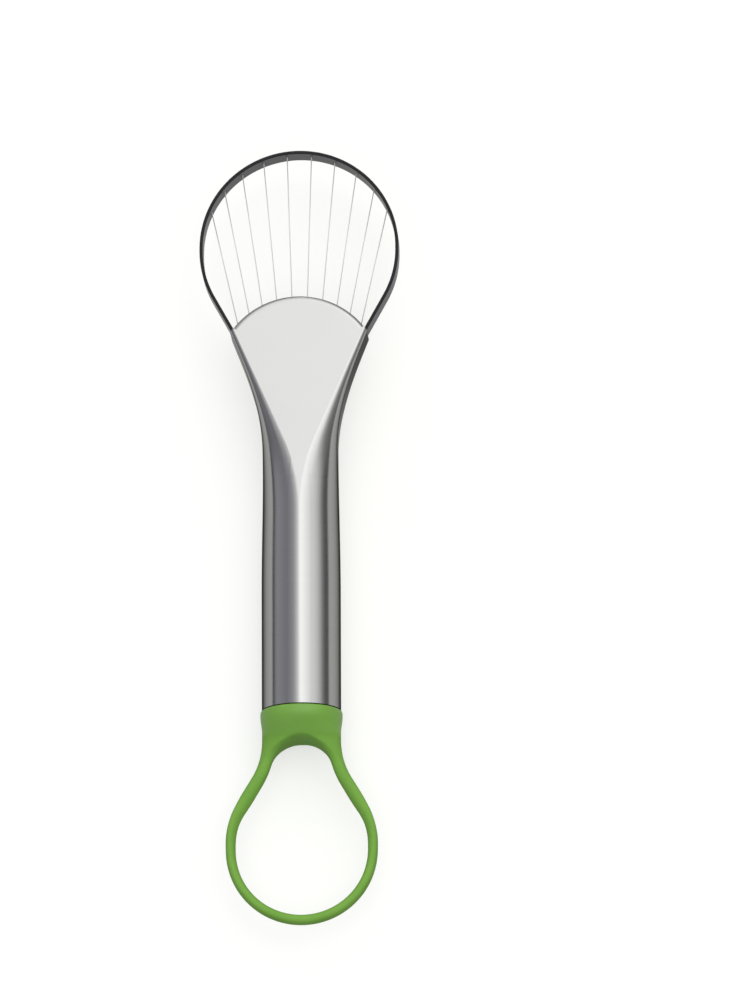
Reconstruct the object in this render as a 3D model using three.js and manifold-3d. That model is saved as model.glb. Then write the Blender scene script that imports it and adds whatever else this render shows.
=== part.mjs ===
// Avocado slicer: a stainless tube opened into a shovel, a strip hoop strung with cutting wires,
// and a moulded hanging ring that plugs the tube's other end.
// Millimetres. +Y runs from the ring to the hoop, +Z faces the way the shovel's outer face does.
import * as THREE from 'three';
import { mergeVertices } from 'three/addons/utils/BufferGeometryUtils.js';
import Module from 'manifold-3d';

const wasm = await Module();
wasm.setup();

const { lerp, smoothstep, degToRad } = THREE.MathUtils;

// Gap between pieces that seat on each other
const clearance = 0.3;

// Hanging ring
const loopDiameter = 47;
const loopThickness = 3.1;
const loopDepth = 5;
const loopSquareness = 0.9;
const loopStretch = 1.6;
const legAngle = degToRad(30);
const legThickness = 4;
const legSwellLength = 10;
const legBendRadius = 26.5;
const archFlatWidth = 0.6;
const archHeight = 7.5;
const archEdgeRadius = 2;
const archEdgeSharpness = 6;
const collarLength = 9;
const collarRimStep = 0.45;
const collarWaistDepth = 0.5;
const collarRimLength = 1.6;
const collarFlareLength = 5;
const collarChamfer = 0.4;
const scoopLength = 15.25;
const tenonLength = 3;
const tenonTaper = 0.04;

// Spigot that is pressed into the tube
const spigotLength = 15;
const spigotWall = 1.6;
const spigotLeadIn = 0.8;
const spigotCoreDepth = 5;
const crushRibCount = 8;
const crushRibHeight = 0.5;
const crushRibWidth = 1.2;

// Handle tube
const tubeDiameter = 24.6;
const tubeWall = 0.6;
const gripLength = 37.67;
const waistLength = 45;
const neckWidth = 23.4;

// Shovel that the tube opens into
const shovelLength = 36;
const shovelWidth = 42.6;
const shovelFlare = degToRad(21.8);
const shovelBendRadius = 1.5;
const plateTipReach = 20.6;
const plateTipLength = 24;
const plateRise = 11.4;
const plateEdgeRadius = 1;
const wallSetback = 0.5;
const wallMargin = 0.8;
const backOpeningReach = 10;
const backOpeningSweep = 34;
const backOpeningFullness = 0.75;

// Cutting hoop
const hoopWidth = 62;
const hoopStretch = 1;
const hoopLegLean = degToRad(29);
const stripThickness = 1;
const stripWidth = 8;
const stripEdge = 0.2;
const stripSetback = 3.3;
const lapLength = 8;

// Cutting wires
const wireCount = 10;
const wireDiameter = 0.4;
const beadDiameter = 0.66;
const hoopWirePitch = degToRad(14.3);
const lipEndGap = 2.4;
const lipHoleMargin = 1.2;
const lipDrop = 2.2;

// Smoothness of the round forms
const cornerSteps = 8;
const backFacetStep = 0.5;
const waistSteps = 9;
const backOpeningSteps = 14;
const shovelSteps = 12;
const plateArcSteps = 32;
const plateEdgeSteps = 4;
const slopeStep = 0.5;
const hoopArcSteps = 16;
const ringSteps = 30;
const tenonSteps = 4;
const archEdgeSteps = 4;
const scoopSteps = 6;
const crownCrowding = 1.3;
const ringSectionSteps = 20;
const roundSteps = 40;
const holeSteps = 12;
const wireSides = 8;
const beadSteps = 4;

// Heights and radii that follow from the sizes above
const tubeRadius = tubeDiameter / 2;
const boreRadius = tubeRadius - tubeWall;
const rimRadius = tubeRadius + collarRimStep;
const waistRadius = rimRadius - collarWaistDepth;
const loopRadius = (loopDiameter - loopThickness) / 2;
const loopCentreY = loopDiameter / 2;
const loopShoulderY = loopCentreY + loopStretch;
const legX = waistRadius - legThickness / 2;
const legFoot = new THREE.Vector2(
  loopRadius * Math.cos(legAngle),
  loopShoulderY + loopRadius * Math.sin(legAngle),
);
const legBendX = legX + legBendRadius * (1 - Math.cos(legAngle));
const legBendY = legFoot.y + (legFoot.x - legBendX) / Math.tan(legAngle);
const crownY = legBendY + legBendRadius * Math.sin(legAngle);
const rimY = crownY + collarLength;
const scoopTopY = rimY - collarRimLength;

const tubeFootY = rimY + clearance;
const waistY = rimY + gripLength;
const neckY = waistY + waistLength;
const cornerY = neckY + shovelLength;
const wallTopY = cornerY - wallSetback;
const chord = shovelWidth / 2;
const plateRadius = (chord * chord + plateRise * plateRise) / (2 * plateRise);
const plateCentreY = cornerY + plateRise - plateRadius;
const plateHalfAngle = Math.asin(chord / plateRadius);
const plateTipY = neckY - plateTipReach;
const plateSlope = (chord - shovelBendRadius) / (cornerY - plateTipY - plateTipLength / 2);

const stripFrontZ = tubeRadius - stripSetback;
const stripMiddleZ = stripFrontZ - stripWidth / 2;
const stripBackZ = stripFrontZ - stripWidth;
const wallBackZ = stripBackZ - wallMargin;
const hoopRadius = (hoopWidth - stripThickness) / 2;
const lapTop = wallSeatAt(wallTopY);
const legRun = (hoopRadius * Math.cos(hoopLegLean) - lapTop.x) / Math.tan(hoopLegLean);
const hoopLowerY = lapTop.y + legRun + hoopRadius * Math.sin(hoopLegLean);
const hoopUpperY = hoopLowerY + hoopStretch;
const overallLength = hoopUpperY + hoopWidth / 2;

const holeDiameter = beadDiameter + 2 * clearance;
const lipBottomZ = stripMiddleZ - lipDrop;
const lipHalfAngle = plateHalfAngle - lipEndGap / plateRadius;
const lipWirePitch = (lipHalfAngle - lipHoleMargin / plateRadius) / ((wireCount - 1) / 2);

const steel = new THREE.MeshStandardMaterial({ color: 0xb4b6b8, metalness: 1, roughness: 0.28 });
const stripSteel = new THREE.MeshStandardMaterial({ color: 0x666668, metalness: 1, roughness: 0.35 });
const wireSteel = new THREE.MeshStandardMaterial({ color: 0xcacbcc, metalness: 1, roughness: 0.35 });
const greenPlastic = new THREE.MeshStandardMaterial({ color: 0x70a53c, metalness: 0, roughness: 0.45 });

// A solid that can be joined and cut, from any closed geometry
function solid(geometry) {
  const bare = geometry.clone();
  bare.deleteAttribute('normal');
  bare.deleteAttribute('uv');
  const merged = mergeVertices(bare, 1e-4);
  const triangles = [];
  for (let i = 0; i < merged.index.count; i += 3) {
    const corners = [merged.index.getX(i), merged.index.getX(i + 1), merged.index.getX(i + 2)];
    if (new Set(corners).size === 3) {
      triangles.push(...corners);
    }
  }
  const mesh = new wasm.Mesh({
    numProp: 3,
    vertProperties: new Float32Array(merged.attributes.position.array),
    triVerts: new Uint32Array(triangles),
  });
  return new wasm.Manifold(mesh);
}

// A named mesh from a finished solid
function piece(name, body, material) {
  const { vertProperties, triVerts } = body.getMesh();
  const geometry = new THREE.BufferGeometry();
  geometry.setAttribute('position', new THREE.BufferAttribute(vertProperties, 3));
  geometry.setIndex(new THREE.BufferAttribute(triVerts, 1));
  geometry.computeVertexNormals();
  const mesh = new THREE.Mesh(geometry, material);
  mesh.name = name;
  return mesh;
}

// A closed solid through a row of convex rings that have equally many points
function loft(rings) {
  const count = rings[0].length;
  const last = (rings.length - 1) * count;
  const foot = rings.length * count;
  const head = foot + 1;
  const triangles = [];
  for (let i = 0; i < count; i++) {
    const next = (i + 1) % count;
    for (let row = 0; row < last; row += count) {
      const a = row + i;
      const b = row + next;
      triangles.push(a, b, b + count, a, b + count, a + count);
    }
    triangles.push(foot, next, i, head, last + i, last + next);
  }
  const middle = (ring) => {
    const sum = ring.reduce((total, point) => total.add(point), new THREE.Vector3());
    return sum.divideScalar(count);
  };
  const points = [...rings.flat(), middle(rings[0]), middle(rings.at(-1))];
  const geometry = new THREE.BufferGeometry().setFromPoints(points);
  geometry.setIndex(triangles);
  const body = solid(geometry);
  if (body.volume() > 0) {
    return body;
  }
  geometry.setIndex(triangles.reverse());
  return solid(geometry);
}

function box(low, high) {
  const size = new THREE.Vector3().subVectors(high, low);
  const middle = new THREE.Vector3().addVectors(low, high).multiplyScalar(0.5);
  const geometry = new THREE.BoxGeometry(size.x, size.y, size.z);
  return solid(geometry.translate(middle.x, middle.y, middle.z));
}

// Half the handle's width: a round grip, a slight waist, then the shovel's flare
function halfWidthAt(y) {
  const neck = neckWidth / 2;
  if (y < neckY) {
    return lerp(tubeRadius, neck, smoothstep(y, waistY, neckY));
  }
  const slope = Math.tan(shovelFlare);
  if (y > cornerY) {
    return chord + slope * (y - cornerY);
  }
  const t = (y - neckY) / shovelLength;
  const rise = (chord - neck) * (3 * t * t - 2 * t * t * t);
  return rise + neck + slope * shovelLength * (t * t * t - t * t);
}

// Half the width of the shovel's flat plate, which starts on the tube as a slender tip
function plateHalfWidthAt(y) {
  const reach = Math.max(y - plateTipY, 0);
  if (reach < plateTipLength) {
    return plateSlope * reach * reach / (2 * plateTipLength);
  }
  return plateSlope * (reach - plateTipLength / 2);
}

// Radius of the bend between the plate and the side walls
function bendRadiusAt(y) {
  if (y > cornerY) {
    return shovelBendRadius;
  }
  return halfWidthAt(y) - plateHalfWidthAt(y);
}

// Half the clear width inside the shovel, at a level in front of or beside the bend
function innerHalfWidthAt(y, z) {
  const radius = bendRadiusAt(y) - tubeWall;
  const level = Math.max(z - (tubeRadius - bendRadiusAt(y)), 0);
  return halfWidthAt(y) - tubeWall - radius + Math.sqrt(radius * radius - level * level);
}

// Where the middle of the hoop's strip lies inside a side wall
function wallSeatAt(y) {
  const seat = clearance + stripThickness / 2;
  const above = innerHalfWidthAt(y + slopeStep, stripFrontZ);
  const below = innerHalfWidthAt(y - slopeStep, stripFrontZ);
  const slope = (above - below) / (2 * slopeStep);
  return new THREE.Vector2(innerHalfWidthAt(y, stripFrontZ) - seat * Math.hypot(1, slope), y);
}

// One round corner of the handle's section, from the front or back to the side, starting part of a step round
function sectionCorner(halfWidth, halfDepth, radius, firstStep) {
  const points = [];
  for (let i = 0; i <= cornerSteps; i++) {
    const angle = ((i + firstStep) / (cornerSteps + firstStep)) * Math.PI / 2;
    const out = halfWidth - radius + radius * Math.sin(angle);
    points.push(new THREE.Vector2(out, halfDepth - radius + radius * Math.cos(angle)));
  }
  return points;
}

// The handle's section at one height: a circle whose front turns into a flat plate with bent sides.
// A facet lies at the back, so that the handle doesn't roll on a corner of its section.
function handleSection(y, inset) {
  const halfWidth = halfWidthAt(y) - inset;
  const halfDepth = tubeRadius - inset;
  const bend = bendRadiusAt(y) - inset;
  const round = Math.min(halfWidth, halfDepth);
  const back = sectionCorner(halfWidth, halfDepth, round, backFacetStep).toReversed();
  const facetEnd = back.at(-1);
  const right = [
    new THREE.Vector2((halfWidth - bend) / 2, halfDepth),
    ...sectionCorner(halfWidth, halfDepth, bend, 0),
    new THREE.Vector2(halfWidth, (round - bend) / 2),
    ...back.map(({ x, y: z }) => new THREE.Vector2(x, -z)),
    new THREE.Vector2(facetEnd.x / 2, -facetEnd.y),
  ];
  const left = right.toReversed().map(({ x, y: z }) => new THREE.Vector2(-x, z));
  const ring = [new THREE.Vector2(0, halfDepth), ...right, new THREE.Vector2(0, -facetEnd.y), ...left];
  return ring.map((point) => new THREE.Vector3(point.x, y, point.y));
}

// The skin of the handle at a given depth below its outer face
function handleSkin(inset, overshoot) {
  const heights = [tubeFootY - overshoot];
  for (let i = 0; i < waistSteps; i++) {
    heights.push(lerp(waistY, neckY, i / waistSteps));
  }
  for (let i = 0; i <= shovelSteps; i++) {
    heights.push(lerp(neckY, cornerY, i / shovelSteps));
  }
  heights.push(cornerY + 2 * plateRise + overshoot);
  return loft(heights.map((y) => handleSection(y, inset)));
}

// What is cut away behind the shovel, so that its back is an open trough
function backOpening() {
  const startY = neckY - backOpeningReach;
  const behind = -2 * tubeRadius;
  const profile = new THREE.Shape();
  profile.moveTo(startY, behind);
  profile.lineTo(startY, -tubeRadius);
  profile.bezierCurveTo(
    startY + backOpeningReach, lerp(-tubeRadius, wallBackZ, backOpeningFullness),
    startY + backOpeningFullness * backOpeningSweep, wallBackZ,
    startY + backOpeningSweep, wallBackZ,
  );
  profile.lineTo(overallLength, wallBackZ);
  profile.lineTo(overallLength, behind);
  const geometry = new THREE.ExtrudeGeometry(profile, {
    depth: 2 * shovelWidth,
    bevelEnabled: false,
    curveSegments: backOpeningSteps,
  });
  geometry.translate(0, 0, -shovelWidth);
  const axes = [new THREE.Vector3(0, 1, 0), new THREE.Vector3(0, 0, 1), new THREE.Vector3(1, 0, 0)];
  geometry.applyMatrix4(new THREE.Matrix4().makeBasis(...axes));
  return solid(geometry);
}

// The handle's outline seen from the front: straight, with the plate's round end
function planform() {
  const outline = new THREE.Shape();
  outline.moveTo(-shovelWidth, 0);
  outline.lineTo(shovelWidth, 0);
  outline.lineTo(shovelWidth, cornerY);
  outline.lineTo(chord, cornerY);
  const start = Math.PI / 2 - plateHalfAngle;
  outline.absarc(0, plateCentreY, plateRadius, start, Math.PI - start, false);
  outline.lineTo(-shovelWidth, cornerY);
  const geometry = new THREE.ExtrudeGeometry(outline, {
    depth: 4 * tubeRadius,
    bevelEnabled: false,
    curveSegments: plateArcSteps / 2,
  });
  return solid(geometry.translate(0, 0, -2 * tubeRadius));
}

// A bar with a constant profile of radius and height, bent round the plate's end
function alongPlateEnd(profile, halfAngle, overrun) {
  const angles = [-halfAngle - overrun];
  for (let i = 0; i <= plateArcSteps; i++) {
    angles.push(lerp(-halfAngle, halfAngle, i / plateArcSteps));
  }
  angles.push(halfAngle + overrun);
  return loft(angles.map((angle) => profile.map(([radius, z]) => new THREE.Vector3(
    radius * Math.sin(angle),
    plateCentreY + radius * Math.cos(angle),
    z,
  ))));
}

// The turned-down lip that takes the wires, with spare thickness for the outline to trim
function lip() {
  const inside = plateRadius - tubeWall;
  const outside = plateRadius + tubeWall;
  const top = tubeRadius - tubeWall / 2;
  const profile = [[inside, lipBottomZ], [inside, top], [outside, top], [outside, lipBottomZ]];
  return alongPlateEnd(profile, lipHalfAngle, 0);
}

// What the round edge between plate and lip leaves off a square corner
function plateEdgeRounding() {
  const innerRadius = plateRadius - plateEdgeRadius;
  const innerZ = tubeRadius - plateEdgeRadius;
  const outerRadius = plateRadius + tubeWall;
  const outerZ = tubeRadius + tubeWall;
  const square = [[innerRadius, innerZ], [outerRadius, innerZ], [outerRadius, outerZ], [innerRadius, outerZ]];
  const round = [
    [innerRadius - plateEdgeRadius, tubeRadius],
    [innerRadius - plateEdgeRadius, innerZ - plateEdgeRadius],
    [plateRadius, innerZ - plateEdgeRadius],
  ];
  for (let i = 0; i <= plateEdgeSteps; i++) {
    const angle = (i / plateEdgeSteps) * Math.PI / 2;
    round.push([innerRadius + plateEdgeRadius * Math.cos(angle), innerZ + plateEdgeRadius * Math.sin(angle)]);
  }
  const overrun = plateEdgeRadius / plateRadius;
  return alongPlateEnd(square, plateHalfAngle, 0).subtract(alongPlateEnd(round, plateHalfAngle, overrun));
}

// The corner that is notched out of each side wall, so that the hoop's leg can pass
function legRelief(side) {
  const inner = side * (plateRadius - tubeWall) * Math.sin(lipHalfAngle);
  const outer = side * shovelWidth;
  const low = new THREE.Vector3(Math.min(inner, outer), wallTopY, -2 * tubeRadius);
  const high = new THREE.Vector3(Math.max(inner, outer), overallLength, stripFrontZ + clearance);
  return box(low, high);
}

// The two ends of a wire, in the middle of the lip and of the strip
function wireEnds(index) {
  const place = index - (wireCount - 1) / 2;
  const lipAngle = place * lipWirePitch;
  const hoopAngle = place * hoopWirePitch;
  const lipMiddle = plateRadius - tubeWall / 2;
  const foot = new THREE.Vector3(
    lipMiddle * Math.sin(lipAngle),
    plateCentreY + lipMiddle * Math.cos(lipAngle),
    stripMiddleZ,
  );
  const head = new THREE.Vector3(
    hoopRadius * Math.sin(hoopAngle),
    hoopUpperY + hoopRadius * Math.cos(hoopAngle),
    stripMiddleZ,
  );
  return { foot, head };
}

// Turns a shape that stands on the origin along +Y onto the line from one point to another
function standBetween(geometry, foot, head) {
  const direction = new THREE.Vector3().subVectors(head, foot).normalize();
  geometry.applyQuaternion(new THREE.Quaternion().setFromUnitVectors(new THREE.Vector3(0, 1, 0), direction));
  return geometry.translate(foot.x, foot.y, foot.z);
}

// The bore that one wire's two holes share
function wireBore(index) {
  const { foot, head } = wireEnds(index);
  const overrun = 2 * stripThickness;
  const length = foot.distanceTo(head) + 2 * overrun;
  const geometry = new THREE.CylinderGeometry(holeDiameter / 2, holeDiameter / 2, length, holeSteps);
  geometry.translate(0, length / 2 - overrun, 0);
  return solid(standBetween(geometry, foot, head));
}

function drilled(body) {
  let result = body;
  for (let i = 0; i < wireCount; i++) {
    result = result.subtract(wireBore(i));
  }
  return result;
}

function handleTube() {
  const shell = handleSkin(0, 0).subtract(handleSkin(tubeWall, tubeWall)).subtract(backOpening());
  const notched = shell.subtract(legRelief(1)).subtract(legRelief(-1));
  const trimmed = notched.add(lip()).intersect(planform()).subtract(plateEdgeRounding());
  return drilled(trimmed);
}

// Middle line of the hoop's right half, from the end of its leg to the top
function hoopHalfLine() {
  const lapEnd = wallSeatAt(wallTopY - lapLength);
  const line = new THREE.Path();
  line.moveTo(lapEnd.x, lapEnd.y);
  line.lineTo(lapTop.x, lapTop.y);
  line.lineTo(hoopRadius * Math.cos(hoopLegLean), lapTop.y + legRun);
  line.absarc(0, hoopLowerY, hoopRadius, -hoopLegLean, 0, false);
  line.lineTo(hoopRadius, hoopUpperY);
  line.absarc(0, hoopUpperY, hoopRadius, 0, Math.PI / 2, false);
  return line.getPoints(hoopArcSteps / 2);
}

// The strip's section at each point of a line, mitred where the line bends
function stripRings(points) {
  const halfThick = stripThickness / 2;
  const section = [
    [halfThick, stripBackZ + stripEdge],
    [halfThick, stripFrontZ - stripEdge],
    [halfThick - stripEdge, stripFrontZ],
    [stripEdge - halfThick, stripFrontZ],
    [-halfThick, stripFrontZ - stripEdge],
    [-halfThick, stripBackZ + stripEdge],
    [stripEdge - halfThick, stripBackZ],
    [halfThick - stripEdge, stripBackZ],
  ];
  return points.map((point, i) => {
    const before = new THREE.Vector2().subVectors(point, points[i - 1] ?? point).normalize();
    const after = new THREE.Vector2().subVectors(points[i + 1] ?? point, point).normalize();
    const along = new THREE.Vector2().addVectors(before, after).normalize();
    const mitre = 1 / Math.max(along.dot(before), along.dot(after));
    return section.map(([out, z]) => new THREE.Vector3(
      point.x + out * mitre * along.y,
      point.y - out * mitre * along.x,
      z,
    ));
  });
}

function cuttingHoop() {
  const right = hoopHalfLine();
  const left = right.slice(0, -1).toReversed().map(({ x, y }) => new THREE.Vector2(-x, y));
  return drilled(loft(stripRings([...right, ...left])));
}

// A drawn wire with a fused bead at each end
function wire(index) {
  const { foot, head } = wireEnds(index);
  const length = foot.distanceTo(head);
  const beadRadius = beadDiameter / 2;
  const neckAngle = Math.asin(wireDiameter / beadDiameter);
  const bead = [];
  for (let i = 0; i <= beadSteps; i++) {
    const angle = (i / beadSteps) * (Math.PI - neckAngle);
    bead.push(new THREE.Vector2(beadRadius * Math.sin(angle), -beadRadius * Math.cos(angle)));
  }
  const top = bead.toReversed().map(({ x, y }) => new THREE.Vector2(x, length - y));
  const geometry = new THREE.LatheGeometry([...bead, ...top], wireSides);
  return solid(standBetween(geometry, foot, head));
}

// Middle line of the ring's right half, from the arch's crown to the bottom of the loop
function ringHalfLine() {
  const line = new THREE.Path();
  line.moveTo(legX, crownY);
  line.absarc(legX + legBendRadius, crownY, legBendRadius, Math.PI, Math.PI + legAngle, false);
  line.lineTo(legFoot.x, legFoot.y);
  line.absarc(0, loopShoulderY, loopRadius, legAngle, 0, true);
  line.lineTo(loopRadius, loopCentreY);
  line.absarc(0, loopCentreY, loopRadius, 0, -Math.PI / 2, true);
  return line;
}

// Half of the ring's depth at a height: the round collar is scooped down, front and back, to the flat loop
function ringHalfDepthAt(y) {
  return lerp(loopDepth / 2, waistRadius, smoothstep(y, scoopTopY - scoopLength, scoopTopY));
}

// The ring's section at a height, as distances outwards and towards the front:
// half of the collar at the arch's crown, with its edges rounded off, running into the loop's rounded bar
function ringSection(y) {
  const drop = Math.max(crownY - y, 0);
  const opening = Math.sqrt(1 - (1 - Math.min(drop / archHeight, 1)) ** 2);
  const thickness = lerp(
    loopThickness,
    legThickness,
    smoothstep(y, legFoot.y - legSwellLength / 2, legFoot.y + legSwellLength / 2),
  );
  const innerX = lerp(archFlatWidth / 2, legX - thickness / 2, opening);
  const edge = archEdgeRadius * (1 - smoothstep(y, crownY, crownY + archEdgeRadius));
  const sweep = Math.acos((innerX + edge) / waistRadius);
  const halfDepth = ringHalfDepthAt(y) * lerp(1, 1 / Math.sin(sweep), opening);
  const slim = smoothstep(drop, 0, crownY - legFoot.y);
  const drawnIn = 1 - tenonTaper * smoothstep(y, crownY, crownY + tenonLength);
  const softened = (value) => Math.sign(value) * Math.abs(value) ** loopSquareness;
  const section = [];
  for (let i = 0; i < ringSectionSteps; i++) {
    const angle = (i / ringSectionSteps) * 2 * Math.PI;
    const quarter = Math.asin(Math.sin(angle)) / (Math.PI / 2);
    const facingOut = Math.cos(angle) >= -1e-9;
    const flank = innerX + edge * Math.sin(angle) ** archEdgeSharpness;
    const collarOut = facingOut ? waistRadius * Math.cos(quarter * sweep) : flank;
    const rise = facingOut ? Math.sin(quarter * sweep) : Math.sin(sweep) * Math.sin(angle);
    section.push(new THREE.Vector2(
      drawnIn * lerp(collarOut - legX, softened(Math.cos(angle)) * thickness / 2, slim),
      drawnIn * lerp(halfDepth * rise, softened(Math.sin(angle)) * loopDepth / 2, slim),
    ));
  }
  return section;
}

// Rings round the right half of the loop, starting with a tenon that enters the collar
function ringHalfRings() {
  const line = ringHalfLine();
  const rings = [];
  for (let i = tenonSteps; i > 0; i--) {
    const y = crownY + (i / tenonSteps) * tenonLength;
    rings.push(ringSection(y).map((offset) => new THREE.Vector3(legX + offset.x, y, offset.y)));
  }
  for (let i = 0; i <= ringSteps; i++) {
    const t = (i / ringSteps) ** crownCrowding;
    const point = line.getPoint(t);
    const along = line.getTangent(t);
    rings.push(ringSection(point.y).map((offset) => new THREE.Vector3(
      point.x - offset.x * along.y,
      point.y + offset.x * along.x,
      offset.y,
    )));
  }
  return rings;
}

// The collar's outline below its rim, from the middle of the arch's crown, as distances from the axis
function collarSide() {
  const points = [[0, crownY]];
  for (let i = 0; i < archEdgeSteps; i++) {
    const angle = (i / archEdgeSteps) * (Math.PI / 2);
    points.push([
      waistRadius - archEdgeRadius * (1 - Math.sin(angle)),
      crownY + archEdgeRadius * (1 - Math.cos(angle)),
    ]);
  }
  for (let i = 0; i <= scoopSteps; i++) {
    const y = lerp(crownY + archEdgeRadius, scoopTopY, i / scoopSteps);
    points.push([lerp(waistRadius, rimRadius, smoothstep(y, scoopTopY - collarFlareLength, scoopTopY)), y]);
  }
  return points;
}

// Collar and spigot, turned about the tube's axis, with the collar scooped front and back.
// The middles of the facets keep to the radii, and one of them faces the table.
function collarAndSpigot() {
  const spigotRadius = boreRadius - clearance - crushRibHeight;
  const spigotTop = rimY + spigotLength;
  const profile = [
    ...collarSide(),
    [rimRadius, rimY - collarChamfer],
    [rimRadius - collarChamfer, rimY],
    [spigotRadius, rimY],
    [spigotRadius, spigotTop - spigotLeadIn],
    [spigotRadius - spigotLeadIn, spigotTop],
    [spigotRadius - spigotWall, spigotTop],
    [spigotRadius - spigotWall, rimY - spigotCoreDepth],
    [0, rimY - spigotCoreDepth],
  ];
  const halfStep = Math.PI / roundSteps;
  const outline = profile.map(([r, y]) => new THREE.Vector2(r / Math.cos(halfStep), y));
  const turned = new THREE.LatheGeometry(outline, roundSteps, halfStep);
  const place = turned.getAttribute('position');
  for (let i = 0; i < place.count; i++) {
    place.setZ(i, place.getZ(i) * ringHalfDepthAt(place.getY(i)) / waistRadius);
  }
  let body = solid(turned);
  for (let i = 0; i < crushRibCount; i++) {
    const rib = new THREE.BoxGeometry(2 * crushRibHeight, spigotLength - spigotLeadIn, crushRibWidth);
    rib.translate(spigotRadius, rimY + (spigotLength - spigotLeadIn) / 2, 0);
    rib.rotateY((i / crushRibCount) * 2 * Math.PI);
    body = body.add(solid(rib));
  }
  return body;
}

function endRing() {
  const right = ringHalfRings();
  const left = right.slice(0, -1).toReversed().map((ring) => (
    ring.map((point) => new THREE.Vector3(-point.x, point.y, point.z))
  ));
  return loft([...right, ...left]).add(collarAndSpigot());
}

const slicer = new THREE.Group();
slicer.add(piece('handle_tube', handleTube(), steel));
slicer.add(piece('cutting_hoop', cuttingHoop(), stripSteel));
for (let i = 0; i < wireCount; i++) {
  slicer.add(piece(`wire_${String(i + 1).padStart(2, '0')}`, wire(i), wireSteel));
}
slicer.add(piece('end_ring', endRing(), greenPlastic));
// Lying on its collar, with the middle of its length at the origin
slicer.position.set(0, -overallLength / 2, rimRadius);

export default slicer;
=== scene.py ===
import math

import bmesh
import bpy
from mathutils import Matrix, Vector


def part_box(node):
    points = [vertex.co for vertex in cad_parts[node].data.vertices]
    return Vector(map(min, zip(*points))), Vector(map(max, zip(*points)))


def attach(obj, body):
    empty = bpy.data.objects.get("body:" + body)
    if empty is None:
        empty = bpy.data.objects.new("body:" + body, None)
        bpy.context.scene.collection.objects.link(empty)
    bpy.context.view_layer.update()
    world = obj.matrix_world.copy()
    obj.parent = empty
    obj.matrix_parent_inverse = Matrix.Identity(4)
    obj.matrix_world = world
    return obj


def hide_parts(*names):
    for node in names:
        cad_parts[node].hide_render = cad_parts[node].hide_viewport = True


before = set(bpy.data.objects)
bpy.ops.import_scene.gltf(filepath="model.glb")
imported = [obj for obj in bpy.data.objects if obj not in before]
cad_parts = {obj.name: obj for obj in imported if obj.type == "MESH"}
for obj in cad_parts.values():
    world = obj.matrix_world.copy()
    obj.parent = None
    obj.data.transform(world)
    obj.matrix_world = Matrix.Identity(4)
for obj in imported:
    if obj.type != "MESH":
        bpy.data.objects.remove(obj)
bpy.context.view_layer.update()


# Handle: one piece of thin stainless tube, satin polished. The lower part is left round. The upper part is
# slit along the back, opened and pressed into a flat shovel with bent side walls, and the shovel's round end
# is turned down into a lip that is drilled for the wires.
MM = 0.001
ring_low, ring_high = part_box("end_ring")
tube_low, tube_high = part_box("handle_tube")
# The pieces are drawn in millimetres: y from the end of the hanging ring, z from the tube's axis
PLACE = Matrix.Translation((0, ring_low.y, (ring_low.z + ring_high.z) / 2)) @ Matrix.Scale(MM, 4)

TUBE_RADIUS = 12.3
TUBE_WALL = 0.6
TUBE_FOOT = (tube_low.y - ring_low.y) / MM
SHOVEL_TIP = (tube_high.y - ring_low.y) / MM
PLATE_RISE = 11.4
CORNER = SHOVEL_TIP - PLATE_RISE
NECK = CORNER - 36
WAIST = NECK - 45
NECK_HALF = 11.7
CHORD_HALF = 21.3
FLARE = math.tan(math.radians(21.8))
BEND_RADIUS = 1.5
PLATE_TIP = NECK - 20.6
PLATE_TIP_LENGTH = 24
PLATE_SLOPE = (CHORD_HALF - BEND_RADIUS) / (CORNER - PLATE_TIP - PLATE_TIP_LENGTH / 2)
PLATE_RADIUS = (CHORD_HALF ** 2 + PLATE_RISE ** 2) / (2 * PLATE_RISE)
PLATE_CENTRE = SHOVEL_TIP - PLATE_RADIUS
PLATE_EDGE = 1.0
SLIT_REACH = 10
SLIT_START = NECK - SLIT_REACH
SLIT_SWEEP = 34
SLIT_FULLNESS = 0.75
WALL_BACK = 0.2
WIRE_COUNT = 10
WIRE_LEVEL = 5.0
HOLE_RADIUS = 0.5
HOLE_BLOCK = 0.85
LIP_BOTTOM = 2.8
LIP_END_GAP = 2.4
LIP_MARGIN = 1.2
LIP_HALF_ANGLE = math.asin(CHORD_HALF / PLATE_RADIUS) - LIP_END_GAP / PLATE_RADIUS
LIP_PITCH = (LIP_HALF_ANGLE - LIP_MARGIN / PLATE_RADIUS) / ((WIRE_COUNT - 1) / 2)


def mix(a, b, t):
    return a + (b - a) * t


def ease(value, start, end):
    t = min(max((value - start) / (end - start), 0), 1)
    return t * t * (3 - 2 * t)


def half_width(y):
    if y < NECK:
        return mix(TUBE_RADIUS, NECK_HALF, ease(y, WAIST, NECK))
    if y > CORNER:
        return CHORD_HALF + FLARE * (y - CORNER)
    length = CORNER - NECK
    t = (y - NECK) / length
    return mix(NECK_HALF, CHORD_HALF, t * t * (3 - 2 * t)) + FLARE * length * (t ** 3 - t ** 2)


def plate_half(y):
    reach = max(y - PLATE_TIP, 0)
    if reach < PLATE_TIP_LENGTH:
        return PLATE_SLOPE * reach * reach / (2 * PLATE_TIP_LENGTH)
    return min(PLATE_SLOPE * (reach - PLATE_TIP_LENGTH / 2), half_width(y) - BEND_RADIUS)


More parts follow.
